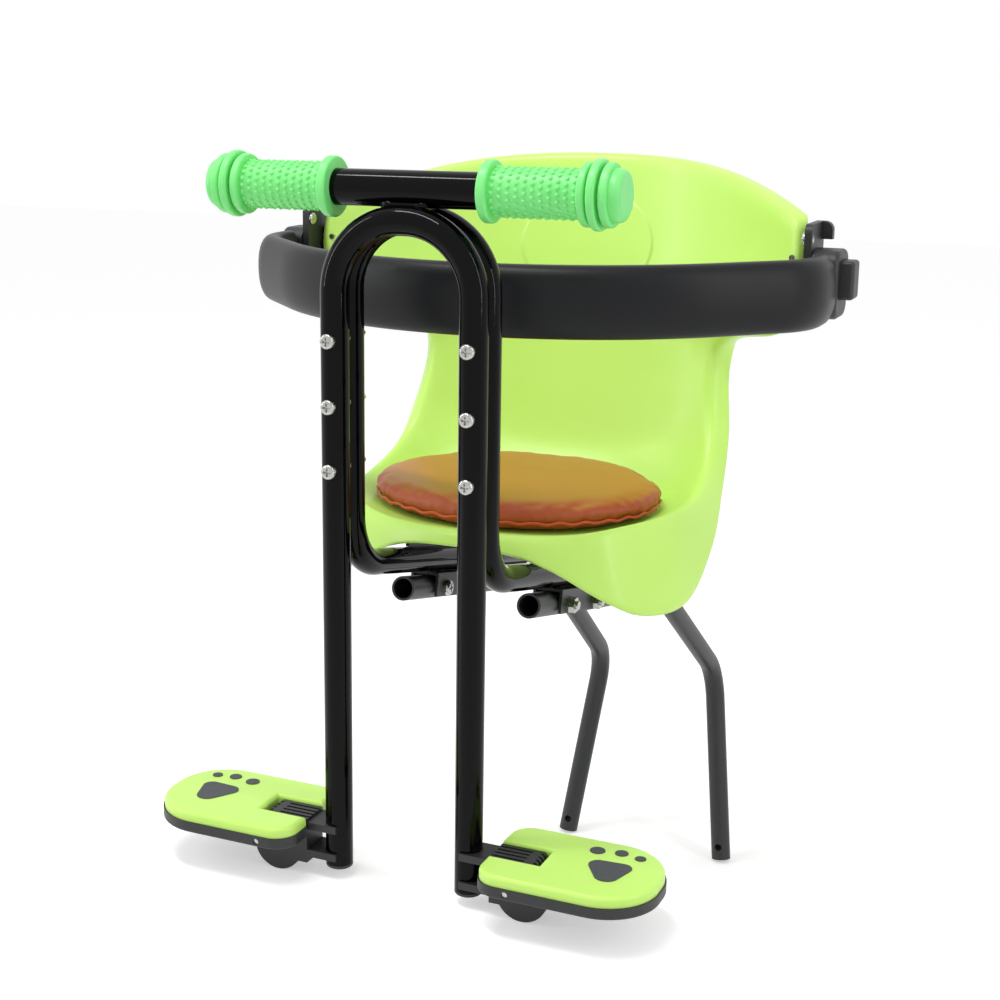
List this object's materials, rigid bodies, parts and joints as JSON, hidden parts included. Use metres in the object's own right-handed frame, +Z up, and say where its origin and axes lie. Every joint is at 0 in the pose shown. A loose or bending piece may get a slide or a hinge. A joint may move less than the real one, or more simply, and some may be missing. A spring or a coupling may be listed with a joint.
{
  "type": "kids handlebar bike seat",
  "caption": "Front-mounted child bicycle seat: moulded bucket with cushion and lifting guard rail on a bent-tube frame with handlebar, grips and folding foot pedals.",
  "frame": {"origin": "midway between the bolt holes at the feet of the two rear legs", "axes": "+Z up, the child faces -Y, +X to the right as seen from the front"},
  "size_m": [0.4398, 0.5969, 0.6621],
  "materials": {
    "gloss_black_tube": "gloss powder coat",
    "satin_black_tube": "satin powder coat",
    "zinc_steel": "zinc plated",
    "black_plastic": "fine grain",
    "lime_plastic": "satin gloss moulded polypropylene",
    "green_grip": "soft knobbed grip",
    "green_pedal": "satin moulded plastic",
    "brown_leather": "stitched cushion cover",
    "black_foam": "satin foam sleeve"
  },
  "bodies": {
    "frame": {"front_frame": "gloss_black_tube", "rear_frame": "gloss_black_tube", "handlebar": "gloss_black_tube", "bar_saddle": "gloss_black_tube", "tube_plugs": "black_plastic", "frame_screws": "zinc_steel", "frame_nuts": "zinc_steel", "frame_spacers": "zinc_steel", "left_grip": "green_grip", "right_grip": "green_grip", "seat_shell": "lime_plastic", "seat_cushion": "brown_leather", "seat_support": "satin_black_tube", "seat_screws": "zinc_steel", "leg_bolts": "zinc_steel", "leg_nuts": "zinc_steel", "left_rear_leg": "satin_black_tube", "left_leg_bracket": "satin_black_tube", "left_pedal_lug": "black_plastic", "left_wing_bracket": "black_plastic", "left_wing_screws": "zinc_steel", "left_wing_rivet": "zinc_steel", "left_hinge_pin": "zinc_steel", "right_rear_leg": "satin_black_tube", "right_leg_bracket": "satin_black_tube", "right_pedal_lug": "black_plastic", "right_wing_bracket": "black_plastic", "right_wing_screws": "zinc_steel", "right_wing_rivet": "zinc_steel", "right_hinge_pin": "zinc_steel"},
    "rail": {"guard_rail": "black_foam", "left_rail_housing": "black_plastic", "right_rail_housing": "black_plastic"},
    "left_button": {"left_release_button": "black_plastic"},
    "right_button": {"right_release_button": "black_plastic"},
    "left_pedal": {"left_pedal_base": "black_plastic", "left_pedal_cover": "green_pedal", "left_pedal_tread": "black_plastic", "left_pedal_pin": "zinc_steel"},
    "right_pedal": {"right_pedal_base": "black_plastic", "right_pedal_cover": "green_pedal", "right_pedal_tread": "black_plastic", "right_pedal_pin": "zinc_steel"}
  },
  "joints": [
    {"name": "rail_lift", "type": "hinge", "parent": "frame", "child": "rail", "pos_m": [0, -0.28447, 0.55925], "axis": [-1, 0, 0], "range_deg": [0, 75]},
    {"name": "left_button_press", "type": "slide", "parent": "rail", "child": "left_button", "axis": [1, 0, 0], "range_m": [0, 0.003], "stiffness_N_per_m": 400},
    {"name": "right_button_press", "type": "slide", "parent": "rail", "child": "right_button", "axis": [-1, 0, 0], "range_m": [0, 0.003], "stiffness_N_per_m": 400},
    {"name": "left_pedal_fold", "type": "hinge", "parent": "frame", "child": "left_pedal", "pos_m": [-0.087, -0.52746, 0.20945], "axis": [0, 1, 0], "range_deg": [0, 90]},
    {"name": "right_pedal_fold", "type": "hinge", "parent": "frame", "child": "right_pedal", "pos_m": [0.087, -0.52746, 0.20945], "axis": [0, -1, 0], "range_deg": [0, 90]}
  ]
}
